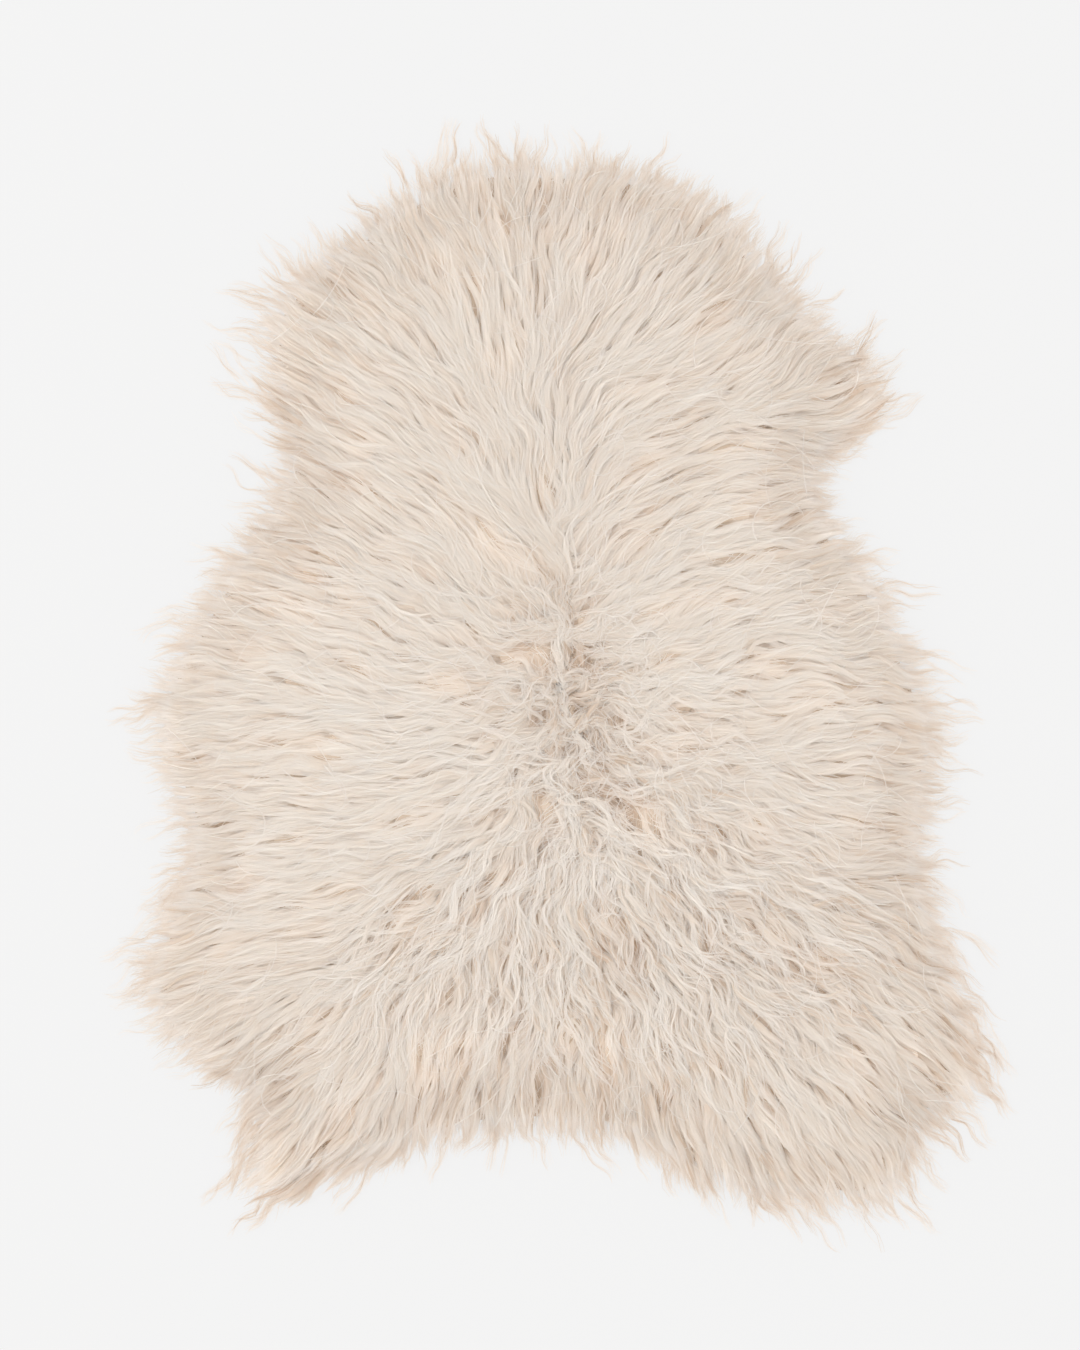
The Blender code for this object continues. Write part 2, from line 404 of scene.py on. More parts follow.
BODY = Strands(per_lock=4, widths=(0.0034, 0.0058), spread=0.95, sink=0.0008, reach=0.97, tint=-0.22,
               follows_lock=True, first_end=0.80, rim_gap=0.04)
HAIR = Strands(per_lock=5, widths=(0.0005, 0.0012), spread=1.0, sink=0.0, reach=1.0, tint=0.20)
FRINGE_HAIR = Strands(per_lock=6, widths=(0.0004, 0.0007), spread=0.9, sink=0.0015, reach=1.0,
                      tint=-0.12, tip_width=0.00022, first_end=0.86)
TRESS_HAIR = Strands(per_lock=6, widths=(0.0007, 0.0014), spread=1.0, sink=0.0, reach=1.0,
                     tint=0.36)


class Hairs(NamedTuple):
    """One kind of single hairs."""

    count: int
    tries: int  # places drawn for each hair
    lengths: tuple
    width: float
    segments: int
    turn: float  # radians by which they leave their roots off the comb
    tint: tuple  # mean and spread
    along: tuple  # first place on a strand's scale, and how much further the last one is


HAIR_BEND = 14.0  # spread, in radians per metre
HAIR_WIDTH_SHARES = (0.7, 1.3)

# Fine hairs that make the rim soft; their low tint is painted shade at the rim
FUZZ = Hairs(count=5500, tries=12, lengths=(0.018, 0.042), width=0.0006, segments=3, turn=0.25,
             tint=(0.25, 0.05), along=(0.5, 0.48))
FUZZ_REACH = 0.020  # past the dense pile's edge
FUZZ_NEARNESS = 1.6  # the higher, the more of them end near that edge
FUZZ_INSIDE = 0.010
FUZZ_RISE = (0.55, 0.45)  # share of a hair's height at its root, and what is added by its tip
FUZZ_HEIGHTS = (0.55, 1.0)  # shares of the pile's height
FUZZ_TAPER = (0.8, 1.5)  # share of its width that a hair loses, and the power by which it does

# Loose single hairs; their high tint is painted highlight
LOOSE = Hairs(count=1500, tries=10, lengths=(0.030, 0.080), width=0.00060, segments=8, turn=0.55,
              tint=(0.90, 0.08), along=(0.7, 0.25))
LOOSE_STRAY = 45.0  # degrees: they lie most where locks stray as far as this
LOOSE_CURL = 16.0  # degrees: where locks stray as far as this, they bend twice as much
LOOSE_INSET = 0.004
LOOSE_HEIGHT = 0.97  # share of the pile's height at their ends
LOOSE_LIFT = 0.008
LOOSE_TAPER = (0.3, 6.0)  # share of its width at a hair's ends, and how fast that grows

# Underwool
UNDERWOOL_STEP = 0.006
UNDERWOOL_RELIEF = 0.0012
EDGE_RELIEF = 0.3  # share of that relief at its edge
UNDERWOOL_INSET = 0.016
UNDERWOOL_ROLL = 0.045  # from its edge to where it has its full fill
RIM_FILL = 0.35  # share of that fill at its edge
UNDERWOOL_BASE = 0.0006  # its wall's foot above the hide
LEAST_UNDERWOOL = 0.0015  # its top above the hide
# Its place on the wool's scales, low for painted shade where it shows between the locks, and what
# its relief adds to it, which leaves painted shade in its streaks' hollows
UNDERWOOL_SHADE_TINT = (0.08, 0.05)
UNDERWOOL_SHADE_ALONG = (0.020, 0.015)
STREAK_CELL = 0.007
STREAK_REACH = 0.022
STREAK_STEPS = 6
STREAK_STRENGTH = 0.25

# Hide
HIDE_INSET = 0.024
HIDE_THICKNESS = 0.0022
HIDE_POINT_SPACING = 0.006  # along its edge
HIDE_EDGE_INSET = 0.0006  # the rounding of its edge, inwards and upwards
HIDE_EDGE_RISE = 0.0004
INSET_ROUNDS = 60  # in which its outline is moved in and smoothed
INSET_PUSH = 0.25  # share of the missing distance in each round
HIDE_BLOTCHES = ((0.3, (0.62, 0.50, 0.37)), (0.7, (0.74, 0.64, 0.51)))
BLOTCH_SCALE = 14.0
BLOTCH_DETAIL = 5.0
NAP_SCALE = 900.0
NAP_STRENGTH = 0.35
NAP_HEIGHT = 0.0006
HIDE_ROUGHNESS = 0.95
HIDE_GLOSS = 0.15

# Wool: a strand's colour by its tint, which holds its own tone and its painted shade and highlight
WOOL_TINTS = (
    (0.0, (0.790, 0.705, 0.620)),
    (0.15, (0.918, 0.858, 0.796)),
    (0.3, (0.966, 0.939, 0.909)),
    (0.55, (0.984, 0.968, 0.948)),
    (1.0, (0.991, 0.985, 0.976)),
)
# Painted shade that multiplies it: up to RIM_PLACE it darkens a strand towards its root, deep in
# the pile, and past that it darkens the rim's thin wool the further out it lies
WOOL_PAINTED_SHADE = (
    (0.0, (0.74, 0.68, 0.63)),
    (0.05, (0.91, 0.86, 0.80)),
    (0.2, (0.978, 0.948, 0.915)),
    (0.4, (0.995, 0.984, 0.969)),
    (RIM_PLACE, (1.0, 1.0, 1.0)),
    (0.9, (0.974, 0.959, 0.945)),
    (1.0, (0.938, 0.912, 0.888)),
)
WOOL_ROUGHNESS = 0.65
WOOL_GLOSS = 0.12
WOOL_TRANSLUCENCY = 0.78  # light that goes on through a strand

# Camera, light and floor
CAMERA_PLACE = (-0.0190, 0.0048, 3.03)
LENS = 88.0
FURTHEST_SEEN = 100.0
WORLD_COLOR = (1.0, 0.992, 0.984, 1.0)
WORLD_LIGHT = 1.34
SIDE_LIGHTS = ((-2.1, 17.0), (2.1, 8.0))  # place across, power
SIDE_LIGHT_PLACE = (0.1, 1.5)  # along and up
SIDE_LIGHT_SIZE = (1.6, 2.2)
FLOOR_HALF = 20
FLOOR_LEVEL = -0.0004
FLOOR_COLOR = (0.10, 0.10, 0.10, 1.0)
FLOOR_GLOW_COLOR = (1.0, 1.0, 1.0, 1.0)
FLOOR_GLOW = 0.753

PIECE_TRIANGLES = 190000  # no piece has more
MAP_EDGES = (-0.004, 0.004)  # how far a ribbon's edges lie from its tint on the bake's map


# ---------------------------------------------------------------- numbers


def unit(vectors):
    return vectors / np.maximum(np.linalg.norm(vectors, axis=-1, keepdims=True), 1e-12)


def headings(angles):
    return np.stack((np.cos(angles), np.sin(angles)), axis=-1)


def grid_points(low, counts, step):
    axes = [low[k] + step * np.arange(counts[k]) for k in (0, 1)]
    return np.stack(np.meshgrid(*axes, indexing="ij"), axis=-1)


def between(values, cell, share):
    """A grid's rows of values, mixed at shares of the way across its cells."""
    i, j = cell[..., 0], cell[..., 1]
    a, b = share[..., 0, None], share[..., 1, None]
    near = values[i, j] * (1 - a) + values[i + 1, j] * a
    far = values[i, j + 1] * (1 - a) + values[i + 1, j + 1] * a
    return near * (1 - b) + far * b


def smooth_noise(points, cell, seed):
    """Smooth random numbers from -1 to 1 over the plane, with bumps of about a cell's size."""
    place = (points[..., :2] + NOISE_REACH) / cell
    corner = np.floor(place).astype(int)
    share = place - corner
    share = share * share * (3.0 - 2.0 * share)
    size = int(2 * NOISE_REACH / cell) + 3
    lattice = np.random.default_rng(seed).uniform(-1.0, 1.0, (size, size))
    return between(lattice[..., None], corner, share)[..., 0]


# ---------------------------------------------------------------- the solid's rim and height


def outer_loop(faces):
    """The loop of edges that only one of the faces has, as vertex numbers in order."""
    edges = {(a, b) for face in faces.tolist() for a, b in zip(face, face[1:] + face[:1])}
    ahead = {a: b for a, b in edges if (b, a) not in edges}
    start = min(ahead)
    loop = [start]
    while ahead[loop[-1]] != start:
        loop.append(ahead[loop[-1]])
    return loop


def solid_rim(node):
    """The rim's points in order, and which of them are valleys between two tufts."""
    mesh = node.data
    corners = np.array([vertex.co for vertex in mesh.vertices])
    triangles = np.array([face.vertices for face in mesh.polygons])
    welded = np.round(corners, WELD_DECIMALS)
    points, index = np.unique(welded, axis=0, return_inverse=True)
    triangles = index.reshape(-1)[triangles]
    floor = triangles[(points[triangles][:, :, 2] < FLAT).all(axis=1)]
    rim = points[outer_loop(floor)][:, :2]
    above = {(x, y): z for x, y, z in points if z > FLAT}
    lips = np.array([above[(x, y)] for x, y in rim])
    return rim, lips > lips.mean()


def signed_distance(points, loop):
    """The distance from points to a closed loop, above zero inside it."""
    start, end = loop, np.roll(loop, -1, axis=0)
    along = end - start
    nearest = np.full(len(points), np.inf)
    inside = np.zeros(len(points), dtype=bool)
    for a, b, step in zip(start, end, along):
        share = np.clip(((points - a) @ step) / (step @ step), 0.0, 1.0)
        apart = points - a - share[:, None] * step
        nearest = np.minimum(nearest, (apart**2).sum(axis=1))
        spans = (a[1] > points[:, 1]) != (b[1] > points[:, 1])
        if a[1] != b[1]:
            crossing = a[0] + (points[:, 1] - a[1]) * step[0] / step[1]
            inside ^= spans & (crossing > points[:, 0])
    return np.where(inside, 1.0, -1.0) * np.sqrt(nearest)


def pile_heights(node, points):
    """The solid's height above each point, and 0 outside it."""
    mesh = node.data
    tree = BVHTree.FromPolygons(
        [vertex.co for vertex in mesh.vertices], [face.vertices for face in mesh.polygons]
    )
    heights = np.zeros(len(points))
    down = Vector((0.0, 0.0, -1.0))
    for i, (x, y) in enumerate(points.tolist()):
        hit = tree.ray_cast(Vector((x, y, RAY_HEIGHT)), down)[0]
        if hit is not None:
            heights[i] = hit.z
    return heights


def blurred(field, steps):
    """A field's mean over a square of so many grid steps to each side, taken twice."""
    for _ in range(2):
        for axis in (0, 1):
            shifted = [np.roll(field, k, axis=axis) for k in range(-steps, steps + 1)]
            field = np.mean(shifted, axis=0)
    return field


# ---------------------------------------------------------------- fields


class Fields:
    """What steers the wool, on a grid: pile height, distance to the edge, comb and zones."""

    def __init__(self, node):
        low, high = (np.array(corner)[:2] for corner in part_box(node.name))
        self.limits = low - OUTER_LIMIT, high + OUTER_LIMIT
        self.low = low - GRID_MARGIN
        count = np.ceil((high - low + 2 * GRID_MARGIN) / GRID_STEP).astype(int) + 1
        grid = grid_points(self.low, count, GRID_STEP)
        points = grid.reshape(-1, 2)

        self.rim, valleys = solid_rim(node)
        self.edge = self.rim[valleys]
        self.tufts = self.rim[~valleys]
        height = pile_heights(node, points).reshape(grid.shape[:2])
        height = np.maximum(blurred(height, PILE_BLUR), FRINGE_HEIGHT)
        distance = signed_distance(points, self.edge).reshape(grid.shape[:2])
        marks = grid - MAP_ORIGIN
        comb, parting = self.comb(marks)
        zones = self.zones(marks)
        zones[..., ZONE_COLUMNS.index("stray")] += PARTING_STRAY * parting
        zones[..., ZONE_COLUMNS.index("curl")] += PARTING_CURL * parting
        zones[..., ZONE_COLUMNS.index("length")] *= 1.0 - PARTING_SHORTENING * parting
        self.names = ("height", "distance", "comb_x", "comb_y", *ZONE_COLUMNS)
        self.values = np.concatenate([height[..., None], distance[..., None], comb, zones], axis=-1)

    @staticmethod
    def comb(grid):
        """The comb's direction, and how far the strokes nearby part from each other."""
        total = np.zeros(grid.shape)
        weights = 0.0
        for x, y, direction in COMB:
            weight = 1.0 / (((grid - (x, y)) ** 2).sum(axis=-1) + COMB_REACH**2) ** 2
            total += headings(math.radians(direction)) * weight[..., None]
            weights = weights + weight
        return unit(total), 1.0 - np.linalg.norm(total, axis=-1) / weights

    @staticmethod
    def zones(grid):
        """The mean of what the zones say, by how near each one is."""
        total = 0.0
        weights = 0.0
        for _, x, y, radius, *numbers in ZONES:
            apart = ((grid - (x, y)) ** 2).sum(axis=-1)
            weight = np.exp(-((apart / radius**2) ** ZONE_FALLOFF))
            if radius > EVERYWHERE:
                weight[:] = EVERYWHERE_WEIGHT
            total = total + np.multiply.outer(weight, numbers)
            weights = weights + weight
        return total / weights[..., None]

    def at(self, points):
        """All the fields at points, as a dictionary of arrays."""
        place = (points - self.low) / GRID_STEP
        place = np.clip(place, 0.0, np.array(self.values.shape[:2]) - LAST_CELL)
        cell = place.astype(int)
        mixed = between(self.values, cell, place - cell)
        return {name: mixed[..., k] for k, name in enumerate(self.names)}


def comb_of(here):
    """The comb's direction, from what Fields.at says."""
    return np.stack((here["comb_x"], here["comb_y"]), axis=-1)


# ---------------------------------------------------------------- locks


class Locks:
    """Locks as arrays: their paths from root to tip, and what shapes them.

    Numbers given by name take the place of the fields' own.
    """

    def __init__(self, fields, tips, layer, rng, **given):
        count = len(tips)
        here = fields.at(tips)
        here.update({name: np.full(count, value) for name, value in given.items()})
        self.count = count
        self.length = here["length"] * rng.uniform(*LENGTH_SHARES, count)
        self.wave = here["wave"] * rng.uniform(*WAVE_SHARES, count)
        self.wavelength = here["wavelength"] * rng.uniform(*WAVELENGTH_SHARES, count)
        self.width = here["width"] * rng.uniform(*WIDTH_SHARES, count)
        self.twist = here["twist"]
        self.clump = here["clump"]
        self.beyond = np.clip(-here["distance"] / EDGE_OVERLAP, 0.0, 1.0)
        radius = np.linalg.norm(tips - MAP_ORIGIN, axis=1)
        turns = radius / here["wavelength"] - self.length / self.wavelength
        self.phase = 2.0 * math.pi * turns + rng.normal(0.0, PHASE_STRAY, count)
        rank = layer + rng.uniform(0.0, 1.0, count)
        self.depth = here["depth"] * rank
        # Painted shade: each layer of locks further down is darker, and so are locks that end near
        # the dense pile's edge, where the pile rolls down.
        near_rim = np.exp(-((np.maximum(here["distance"], 0.0) / RIM_PAINTED_SHADE_WIDTH) ** 2))
        self.shade = here["shade"]
        painted_shade = DEEP_PAINTED_SHADE * self.shade * np.minimum(rank, DEEPEST_LAYER) + RIM_PAINTED_SHADE * near_rim
        self.tint = here["tint"] + rng.normal(0.0, LOCK_TINT, count) - painted_shade
        self.sub_place = rng.uniform(-1.0, 1.0, (count, SUBLOCKS, 2))
        self.sub_phase = rng.normal(0.0, SUBLOCK_PHASE, (count, SUBLOCKS))
        self.sub_end = rng.uniform(0.0, SUBLOCK_END, (count, SUBLOCKS))
        self.sub_tint = rng.normal(0.0, SUBLOCK_TINT, (count, SUBLOCKS))
        self.paths = self.traced(fields, tips, here["stray"], rng)

    def traced(self, fields, tips, stray, rng):
        """The paths, followed against the comb from the tips."""
        seed = int(rng.integers(1 << 30))
        own = OWN_STRAY * rng.normal(0.0, 1.0, self.count)
        curl = fields.at(tips)["curl"] * rng.normal(0.0, 1.0, self.count)
        stray_share = stray / fields.at(tips)["stray"]
        paths = np.zeros((self.count, PATH_STEPS + 1, 2))
        points = tips.copy()
        paths[:, PATH_STEPS] = points
        step = self.length / PATH_STEPS
        for k in range(PATH_STEPS - 1, -1, -1):
            now = fields.at(points)
            wander = SHARED_STRAY * smooth_noise(points, STRAY_CELL, seed) + own
            angle = np.radians(now["stray"] * stray_share) * wander
            angle = angle + np.arctan2(now["comb_y"], now["comb_x"])
            angle = angle + curl * step * (0.5 * PATH_STEPS - k)
            points = points - step[:, None] * headings(angle)
            paths[:, k] = points
        return paths


def path_points(paths, lock, share):
    """Points on the locks' paths, at shares of their length, and the directions there."""
    place = np.clip(share, 0.0, 1.0) * PATH_STEPS
    step = np.minimum(place.astype(int), PATH_STEPS - 1)
    part = (place - step)[..., None]
    start, end = paths[lock, step], paths[lock, step + 1]
    return start * (1 - part) + end * part, unit(end - start)


def wool_numbers(fields, flat, tint, share):
    """The tint at each point, lowered by painted shade past the edge, and its place on the painted
    shade's scale.
    """
    outside = -fields.at(flat)["distance"]
    first, last = OUTSIDE_FADE
    rim = np.clip((outside - first) / (last - first), 0.0, 1.0)
    along = np.where(rim > 0.0, RIM_PLACE + (1.0 - RIM_PLACE) * rim, RIM_PLACE * share)
    return np.clip(tint[:, None] - OUTSIDE_PAINTED_SHADE * rim, *TINT_LIMITS), along


def faced(points, roll):
    """Which way strands' breadths and their faces lie, by how far the strands are rolled."""
    direction = unit(np.gradient(points, axis=1))
    level = unit(np.cross(UP, direction))
    upward = np.cross(direction, level)
    breadthwise = np.cos(roll) * level - np.sin(roll) * upward
    normal = np.cos(roll) * upward + np.sin(roll) * level
    return breadthwise, unit((1.0 - NORMAL_LIFT) * normal + NORMAL_LIFT * UP)


def grow(fields, locks, chosen, kind, segments, rng):
    """One kind of strand on the chosen locks: points, sideways, normals, tints and along.

    sideways is half the strand's width as a vector, and along its place on the scale of painted
    shade.
    """
    lock = np.repeat(chosen, kind.per_lock)
    count = len(lock)
    sub = rng.integers(0, SUBLOCKS, count)
    centre = kind.spread * locks.sub_place[lock, sub]
    own = kind.spread * rng.normal(0.0, STRAND_SCATTER, (count, 2))
    start = rng.uniform(*START, count)
    end = kind.reach * (rng.uniform(kind.first_end, 1.0, count) - locks.sub_end[lock, sub])
    end = end - kind.rim_gap * locks.beyond[lock]
    phase = locks.phase[lock] + locks.sub_phase[lock, sub] + rng.normal(0.0, STRAND_PHASE, count)
    drift = rng.normal(0.0, STRAND_DRIFT, count)

    t = np.linspace(0.0, 1.0, segments + 1)[None, :]
    share = start[:, None] + (end - start)[:, None] * t
    flat, ahead = path_points(locks.paths, lock[:, None], share)
    side = np.stack((-ahead[..., 1], ahead[..., 0]), axis=-1)

    clump = locks.clump[lock][:, None]
    gather = 1.0 - SUBLOCK_GATHER * clump * share**SUBLOCK_GATHER_POWER
    pinch = 1.0 - STRAND_GATHER * clump * share**STRAND_GATHER_POWER
    breadth = (0.5 * locks.width[lock])[:, None]
    across = breadth * (centre[:, :1] * gather + own[:, :1] * pinch)
    thickness = LOCK_FLATNESS * locks.shade[lock][:, None] * breadth
    above = thickness * (centre[:, 1:] * gather + own[:, 1:] * pinch) - kind.sink
    swing = locks.wave[lock][:, None] * np.minimum(1.0, WAVE_AT_ROOT + WAVE_GROWTH * share)
    turns = 2.0 * math.pi * share * (locks.length / locks.wavelength)[lock][:, None]
    turns = turns + phase[:, None]
    across = across + swing * np.sin(turns) + drift[:, None] * (share - start[:, None])
    above = above + locks.twist[lock][:, None] * swing * np.cos(turns)

    height = fields.at(flat)["height"]
    settled = np.minimum(1.0, share / RISE_SHARE)
    rise = 1.0 - (1.0 - ROOT_HEIGHT) * (1.0 - settled) ** 2
    loft = np.minimum(1.0, height / FULL_LOFT)
    depth = locks.depth[lock][:, None] * (DEPTH_AT_ROOT + (1.0 - DEPTH_AT_ROOT) * share)
    lift = rng.normal(0.0, TIP_LIFT, count)[:, None] * share**2
    z = height * rise + loft * (above + lift - depth)
    z = np.maximum(z, GROUND + LEAST_RISE * np.abs(above))
    points = np.concatenate((flat + side * across[..., None], z[..., None]), axis=-1)

    roll = LOCK_ROUNDNESS * np.clip(own[:, 0] + centre[:, 0], -FURTHEST_SIDE, FURTHEST_SIDE)
    roll = (roll + rng.normal(0.0, ROLL, count))[:, None, None]
    breadthwise, normal = faced(points, roll)

    width = rng.uniform(*kind.widths, count)
    if kind.follows_lock:
        width = width * (locks.width / USUAL_WIDTH)[lock]
    width = width[:, None]
    widening = WIDTH_AT_ROOT + (1.0 - WIDTH_AT_ROOT) * np.minimum(1.0, WIDTH_GROWTH * t)
    half = 0.5 * (kind.tip_width + (width - kind.tip_width) * (widening * (1.0 - t**TIP_TAPER)))
    # Painted shade darkens the lower kinds of strand and painted highlight lightens the upper ones,
    # by the lock's shade.
    tint = locks.tint[lock] + locks.sub_tint[lock, sub] + locks.shade[lock] * kind.tint
    tint = tint + rng.normal(0.0, STRAND_TINT, count)
    numbers = wool_numbers(fields, flat, tint, share)
    return points, half[..., None] * breadthwise, normal, *numbers


def even_tips(fields, rng):
    """Points over the whole rug at the locks' usual spacing, each strayed a little."""
    low, high = fields.edge.min(axis=0) - TIP_MARGIN, fields.edge.max(axis=0) + TIP_MARGIN
    spacing = np.array((LOCK_SPACING, LOCK_SPACING * math.sqrt(0.75)))
    columns, rows = np.ceil((high - low) / spacing).astype(int)
    column, row = np.meshgrid(np.arange(columns), np.arange(rows), indexing="ij")
    even = low + spacing * np.stack((column + 0.5 * (row % 2), row), axis=-1).reshape(-1, 2)
    return even + LOCK_SPACING * rng.uniform(-TIP_STRAY, TIP_STRAY, even.shape)


def lock_tips(fields, rng):
    """Tips of locks, in as many layers as the fields' crowd asks for, and the layer of each."""
    layers = []
    for layer in range(MOST_LAYERS):
        tips = even_tips(fields, rng)
        here = fields.at(tips)
        wanted = here["crowd"] - layer > rng.uniform(0.0, 1.0, len(tips))
        layers.append(tips[wanted & (here["distance"] > -EDGE_OVERLAP)])
    layer = np.repeat(np.arange(MOST_LAYERS), [len(tips) for tips in layers])
    return np.concatenate(layers), layer


def cover_tips(fields, locks, rng):
    """Tips of more locks, which lie over the places that the given ones leave bare."""
    passed = locks.paths[:, round(RISE_SHARE * PATH_STEPS):].reshape(-1, 2)
    cells = ((passed - fields.low) / GRID_STEP).astype(int)
    counts = np.zeros(fields.values.shape[:2])
    np.add.at(counts, tuple(cells.T), 1.0)
    bare = np.argwhere(blurred(counts, 1) < BARE)
    places = fields.low + GRID_STEP * (bare + 0.5)
    places = rng.permutation(places[fields.at(places)["distance"] > COVER_INSET])
    chosen = np.empty((0, 2))
    for place in places:
        if (((chosen - place) ** 2).sum(axis=1) > COVER_SPACING**2).all():
            chosen = np.vstack((chosen, place))
    here = fields.at(chosen)
    return chosen + COVER_SHARE * here["length"][:, None] * comb_of(here)


def tress_tips(fields, rng):
    """Tips of tresses, as densely as the fields ask for."""
    tips = even_tips(fields, rng)
    here = fields.at(tips)
    wanted = here["tresses"] > rng.uniform(0.0, 1.0, len(tips))
    return tips[wanted & (here["distance"] > TRESS_INSET)]


def fringe_tips(fields, rng):
    """Tips of the fringe: one at the end of each tuft of the rim, more behind it, and the wisps'."""
    tips = []
    edge = fields.edge
    for tuft in fields.tufts:
        near = edge[np.argsort(((edge - tuft) ** 2).sum(axis=1))[:2]]
        base = near.mean(axis=0)
        across = near[1] - near[0]
        reach = tuft - base
        reach = unit(reach) * max(np.linalg.norm(reach), SHORTEST_TUFT)
        tips.append(base + reach + unit(reach) * rng.uniform(0.0, FRINGE_OVERSHOOT))
        for share in np.linspace(*FRINGE_PLACES, FRINGE_LOCKS - 1):
            sway = rng.uniform(-FRINGE_SWAY, FRINGE_SWAY)
            sideways = across * sway * (TUFT_WIDTH - TUFT_NARROWING * share)
            tips.append(base + reach * share * rng.uniform(*FRINGE_PLACE_SHARES) + sideways)
    for _, x, y, count in WISPS:
        tips += list(MAP_ORIGIN + rng.normal((x, y), WISP_GATHER, (count, 2)))
    return np.array(tips)


# ---------------------------------------------------------------- meshes


def make_piece(name, points, faces, material):
    mesh = bpy.data.meshes.new(name)
    mesh.vertices.add(len(points))
    mesh.vertices.foreach_set("co", points.astype(np.float32).ravel())
    size = faces.shape[1]
    mesh.loops.add(faces.size)
    mesh.loops.foreach_set("vertex_index", faces.astype(np.int32).ravel())
    mesh.polygons.add(len(faces))
    mesh.polygons.foreach_set("loop_start", np.arange(0, faces.size, size, dtype=np.int32))
    mesh.update(calc_edges=True)
    mesh.shade_smooth()
    mesh.materials.append(material)
    piece = bpy.data.objects.new(name, mesh)
    bpy.context.collection.objects.link(piece)
    return piece


def add_wool_numbers(mesh, faces, tints, along, edgewise=0.0):
    """Tint and along as attributes, and a map on which each face lies where its own colour is."""
    for name, values in (("tint", tints), ("along", along)):
        layer = mesh.attributes.new(name, "FLOAT", "POINT")
        layer.data.foreach_set("value", values.astype(np.float32).ravel())
    places = np.stack((np.clip(tints + edgewise, 0.0, 1.0), np.clip(along, 0.0, 1.0)), axis=-1)
    layer = mesh.uv_layers.new(name="OFBake")
    layer.data.foreach_set("uv", places[faces.ravel()].astype(np.float32).ravel())


def make_ribbons(name, strands, material):
    """Grown strands as one piece of flat ribbons."""
    points, sideways, normal, tint, share = strands
    count, rows = points.shape[:2]
    vertices = np.stack((points - sideways, points + sideways), axis=2).reshape(-1, 3)
    edgewise = unit(sideways)
    cos, sin = math.cos(RIBBON_ROUNDNESS), math.sin(RIBBON_ROUNDNESS)
    normals = np.stack((cos * normal - sin * edgewise, cos * normal + sin * edgewise), axis=2)
    first = (np.arange(count) * rows * 2)[:, None] + 2 * np.arange(rows - 1)[None, :]
    quads = np.stack((first, first + 2, first + 3, first + 1), axis=-1).reshape(-1, 4)
    piece = make_piece(name, vertices, quads, material)
    piece.data.normals_split_custom_set_from_vertices(unit(normals.reshape(-1, 3)))
    tints = np.repeat(tint.reshape(-1), 2)
    along = np.repeat(share.reshape(-1), 2)
    add_wool_numbers(piece.data, quads, tints, along, np.tile(MAP_EDGES, len(along) // 2))
    return piece


def make_wool(name, fields, strands, material):
    """Grown strands as pieces that hold no more than the most triangles each."""
    low, high = fields.limits
    flat = strands[0][..., :2]
    kept = ((flat > low) & (flat < high)).all(axis=(1, 2))
    strands = [part[kept] for part in strands]
    count, rows = strands[0].shape[:2]
    parts = math.ceil(2 * (rows - 1) * count / PIECE_TRIANGLES)
    cuts = np.linspace(0, count, parts + 1).astype(int).tolist()
    return [
        make_ribbons(f"{name}_{k + 1}", [part[first:last] for part in strands], material)
        for k, (first, last) in enumerate(zip(cuts[:-1], cuts[1:]))
    ]


def curved_paths(fields, roots, length, turn, bend, segments):
    """Paths of single hairs that leave their roots at a turn from the comb and bend evenly."""
    here = fields.at(roots)
    heading = np.arctan2(here["comb_y"], here["comb_x"]) + turn
    step = length / segments
    paths = np.zeros((len(roots), segments + 1, 2))
    paths[:, 0] = roots
    for k in range(segments):
        angle = heading + bend * step * (k - 0.5 * segments)
        paths[:, k + 1] = paths[:, k] + step[:, None] * headings(angle)
    return paths


def hair_strands(fields, kind, paths, z, taper, rng):
    """Single hairs, in the form that grow returns."""
    count, rows = z.shape
    half = 0.5 * kind.width * rng.uniform(*HAIR_WIDTH_SHARES, count)[:, None] * taper
    tint = rng.normal(*kind.tint, count)
    first, further = kind.along
    share = np.repeat((first + further * np.linspace(0.0, 1.0, rows))[None, :], count, axis=0)
    points = np.concatenate((paths, np.maximum(z, GROUND)[..., None]), axis=-1)
    direction = unit(np.gradient(points, axis=1))
    level = unit(np.cross(UP, direction))
    normal = np.cross(direction, level)
    return points, half[..., None] * level, normal, *wool_numbers(fields, paths, tint, share)


def rim_fuzz(fields, rng):
    """Fine short hairs all round the rim, which make its edge soft."""
    low, high = fields.rim.min(axis=0), fields.rim.max(axis=0)
    tips = rng.uniform(low, high, (FUZZ.count * FUZZ.tries, 2))
    distance = fields.at(tips)["distance"]
    reach = FUZZ_REACH * rng.uniform(0.0, 1.0, len(tips)) ** FUZZ_NEARNESS
    tips = tips[(distance > -reach) & (distance < FUZZ_INSIDE)][: FUZZ.count]
    count = len(tips)
    length = rng.uniform(*FUZZ.lengths, count)
    roots = tips - length[:, None] * comb_of(fields.at(tips))
    turn = rng.normal(0.0, FUZZ.turn, count)
    bend = rng.normal(0.0, HAIR_BEND, count)
    paths = curved_paths(fields, roots, length, turn, bend, FUZZ.segments)
    t = np.linspace(0.0, 1.0, FUZZ.segments + 1)
    first, further = FUZZ_RISE
    height = (first + further * t) * fields.at(paths)["height"]
    z = height * rng.uniform(*FUZZ_HEIGHTS, count)[:, None]
    lost, power = FUZZ_TAPER
    return hair_strands(fields, FUZZ, paths, z, 1.0 - lost * t**power, rng)


